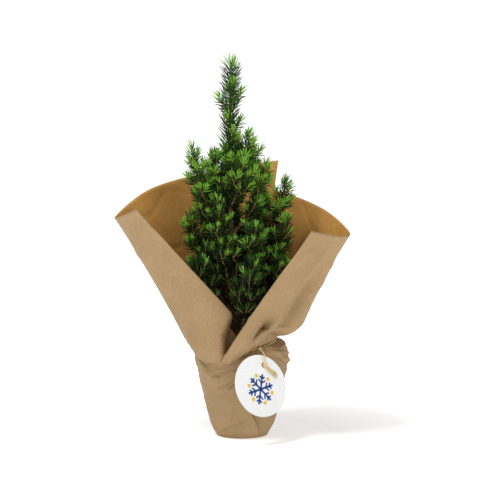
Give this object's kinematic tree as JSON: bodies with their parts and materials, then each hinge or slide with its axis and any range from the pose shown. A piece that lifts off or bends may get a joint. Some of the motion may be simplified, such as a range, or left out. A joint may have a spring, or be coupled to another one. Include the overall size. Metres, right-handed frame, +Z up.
{
  "type": "potted young spruce tree",
  "caption": "Young spruce in a round nursery pot, wrapped in brown kraft paper that is tied with raffia at the neck and flares open round the crown, with a round card tag.",
  "frame": {"origin": "middle of the flat underside of the wrapped pot, on the pot's axis", "axes": "+Z up along the pot's axis; -Y towards the open front of the wrap, where the tag hangs; +X to the right"},
  "size_m": [0.2327, 0.1659, 0.3825],
  "materials": {
    "kraft_paper": "matte, finely ribbed",
    "pot_plastic": "matte",
    "compost": "rough, moist",
    "raffia": "matte",
    "tag_card": "satin",
    "bark": "rough",
    "needles": "satin"
  },
  "bodies": {
    "root": {"nursery_pot": "pot_plastic", "compost": "compost", "wrap_sleeve": "kraft_paper", "wrap_panel_left": "kraft_paper", "wrap_panel_right": "kraft_paper", "raffia_tie": "raffia", "tag": "tag_card", "trunk": "bark", "bough_upper_left": "bark", "bough_mid_right": "bark", "bough_far_right": "bark", "bough_low_right": "bark", "bough_lowest_right": "bark", "bough_front_right": "bark", "bough_front_left": "bark", "bough_low_left": "bark", "bough_lowest_left": "bark", "bough_low_front": "bark", "bough_lowest_front": "bark", "bough_middle_front": "bark", "bough_back_high": "bark", "bough_back_left": "bark", "bough_back_right": "bark", "bough_back_middle": "bark", "bough_back_low_left": "bark", "bough_back_low_right": "bark", "foliage_upper_left": "needles", "foliage_mid_right": "needles", "foliage_far_right": "needles", "foliage_low_right": "needles", "foliage_lowest_right": "needles", "foliage_front_right": "needles", "foliage_front_left": "needles", "foliage_low_left": "needles", "foliage_lowest_left": "needles", "foliage_low_front": "needles", "foliage_lowest_front": "needles", "foliage_middle_front": "needles", "foliage_back_high": "needles", "foliage_back_left": "needles", "foliage_back_right": "needles", "foliage_back_middle": "needles", "foliage_back_low_left": "needles", "foliage_back_low_right": "needles", "foliage_crest_left": "needles", "foliage_crest_right": "needles", "foliage_crest_back": "needles", "foliage_crest_front": "needles", "foliage_leader_low": "needles", "foliage_leader_high": "needles"}
  },
  "joints": []
}
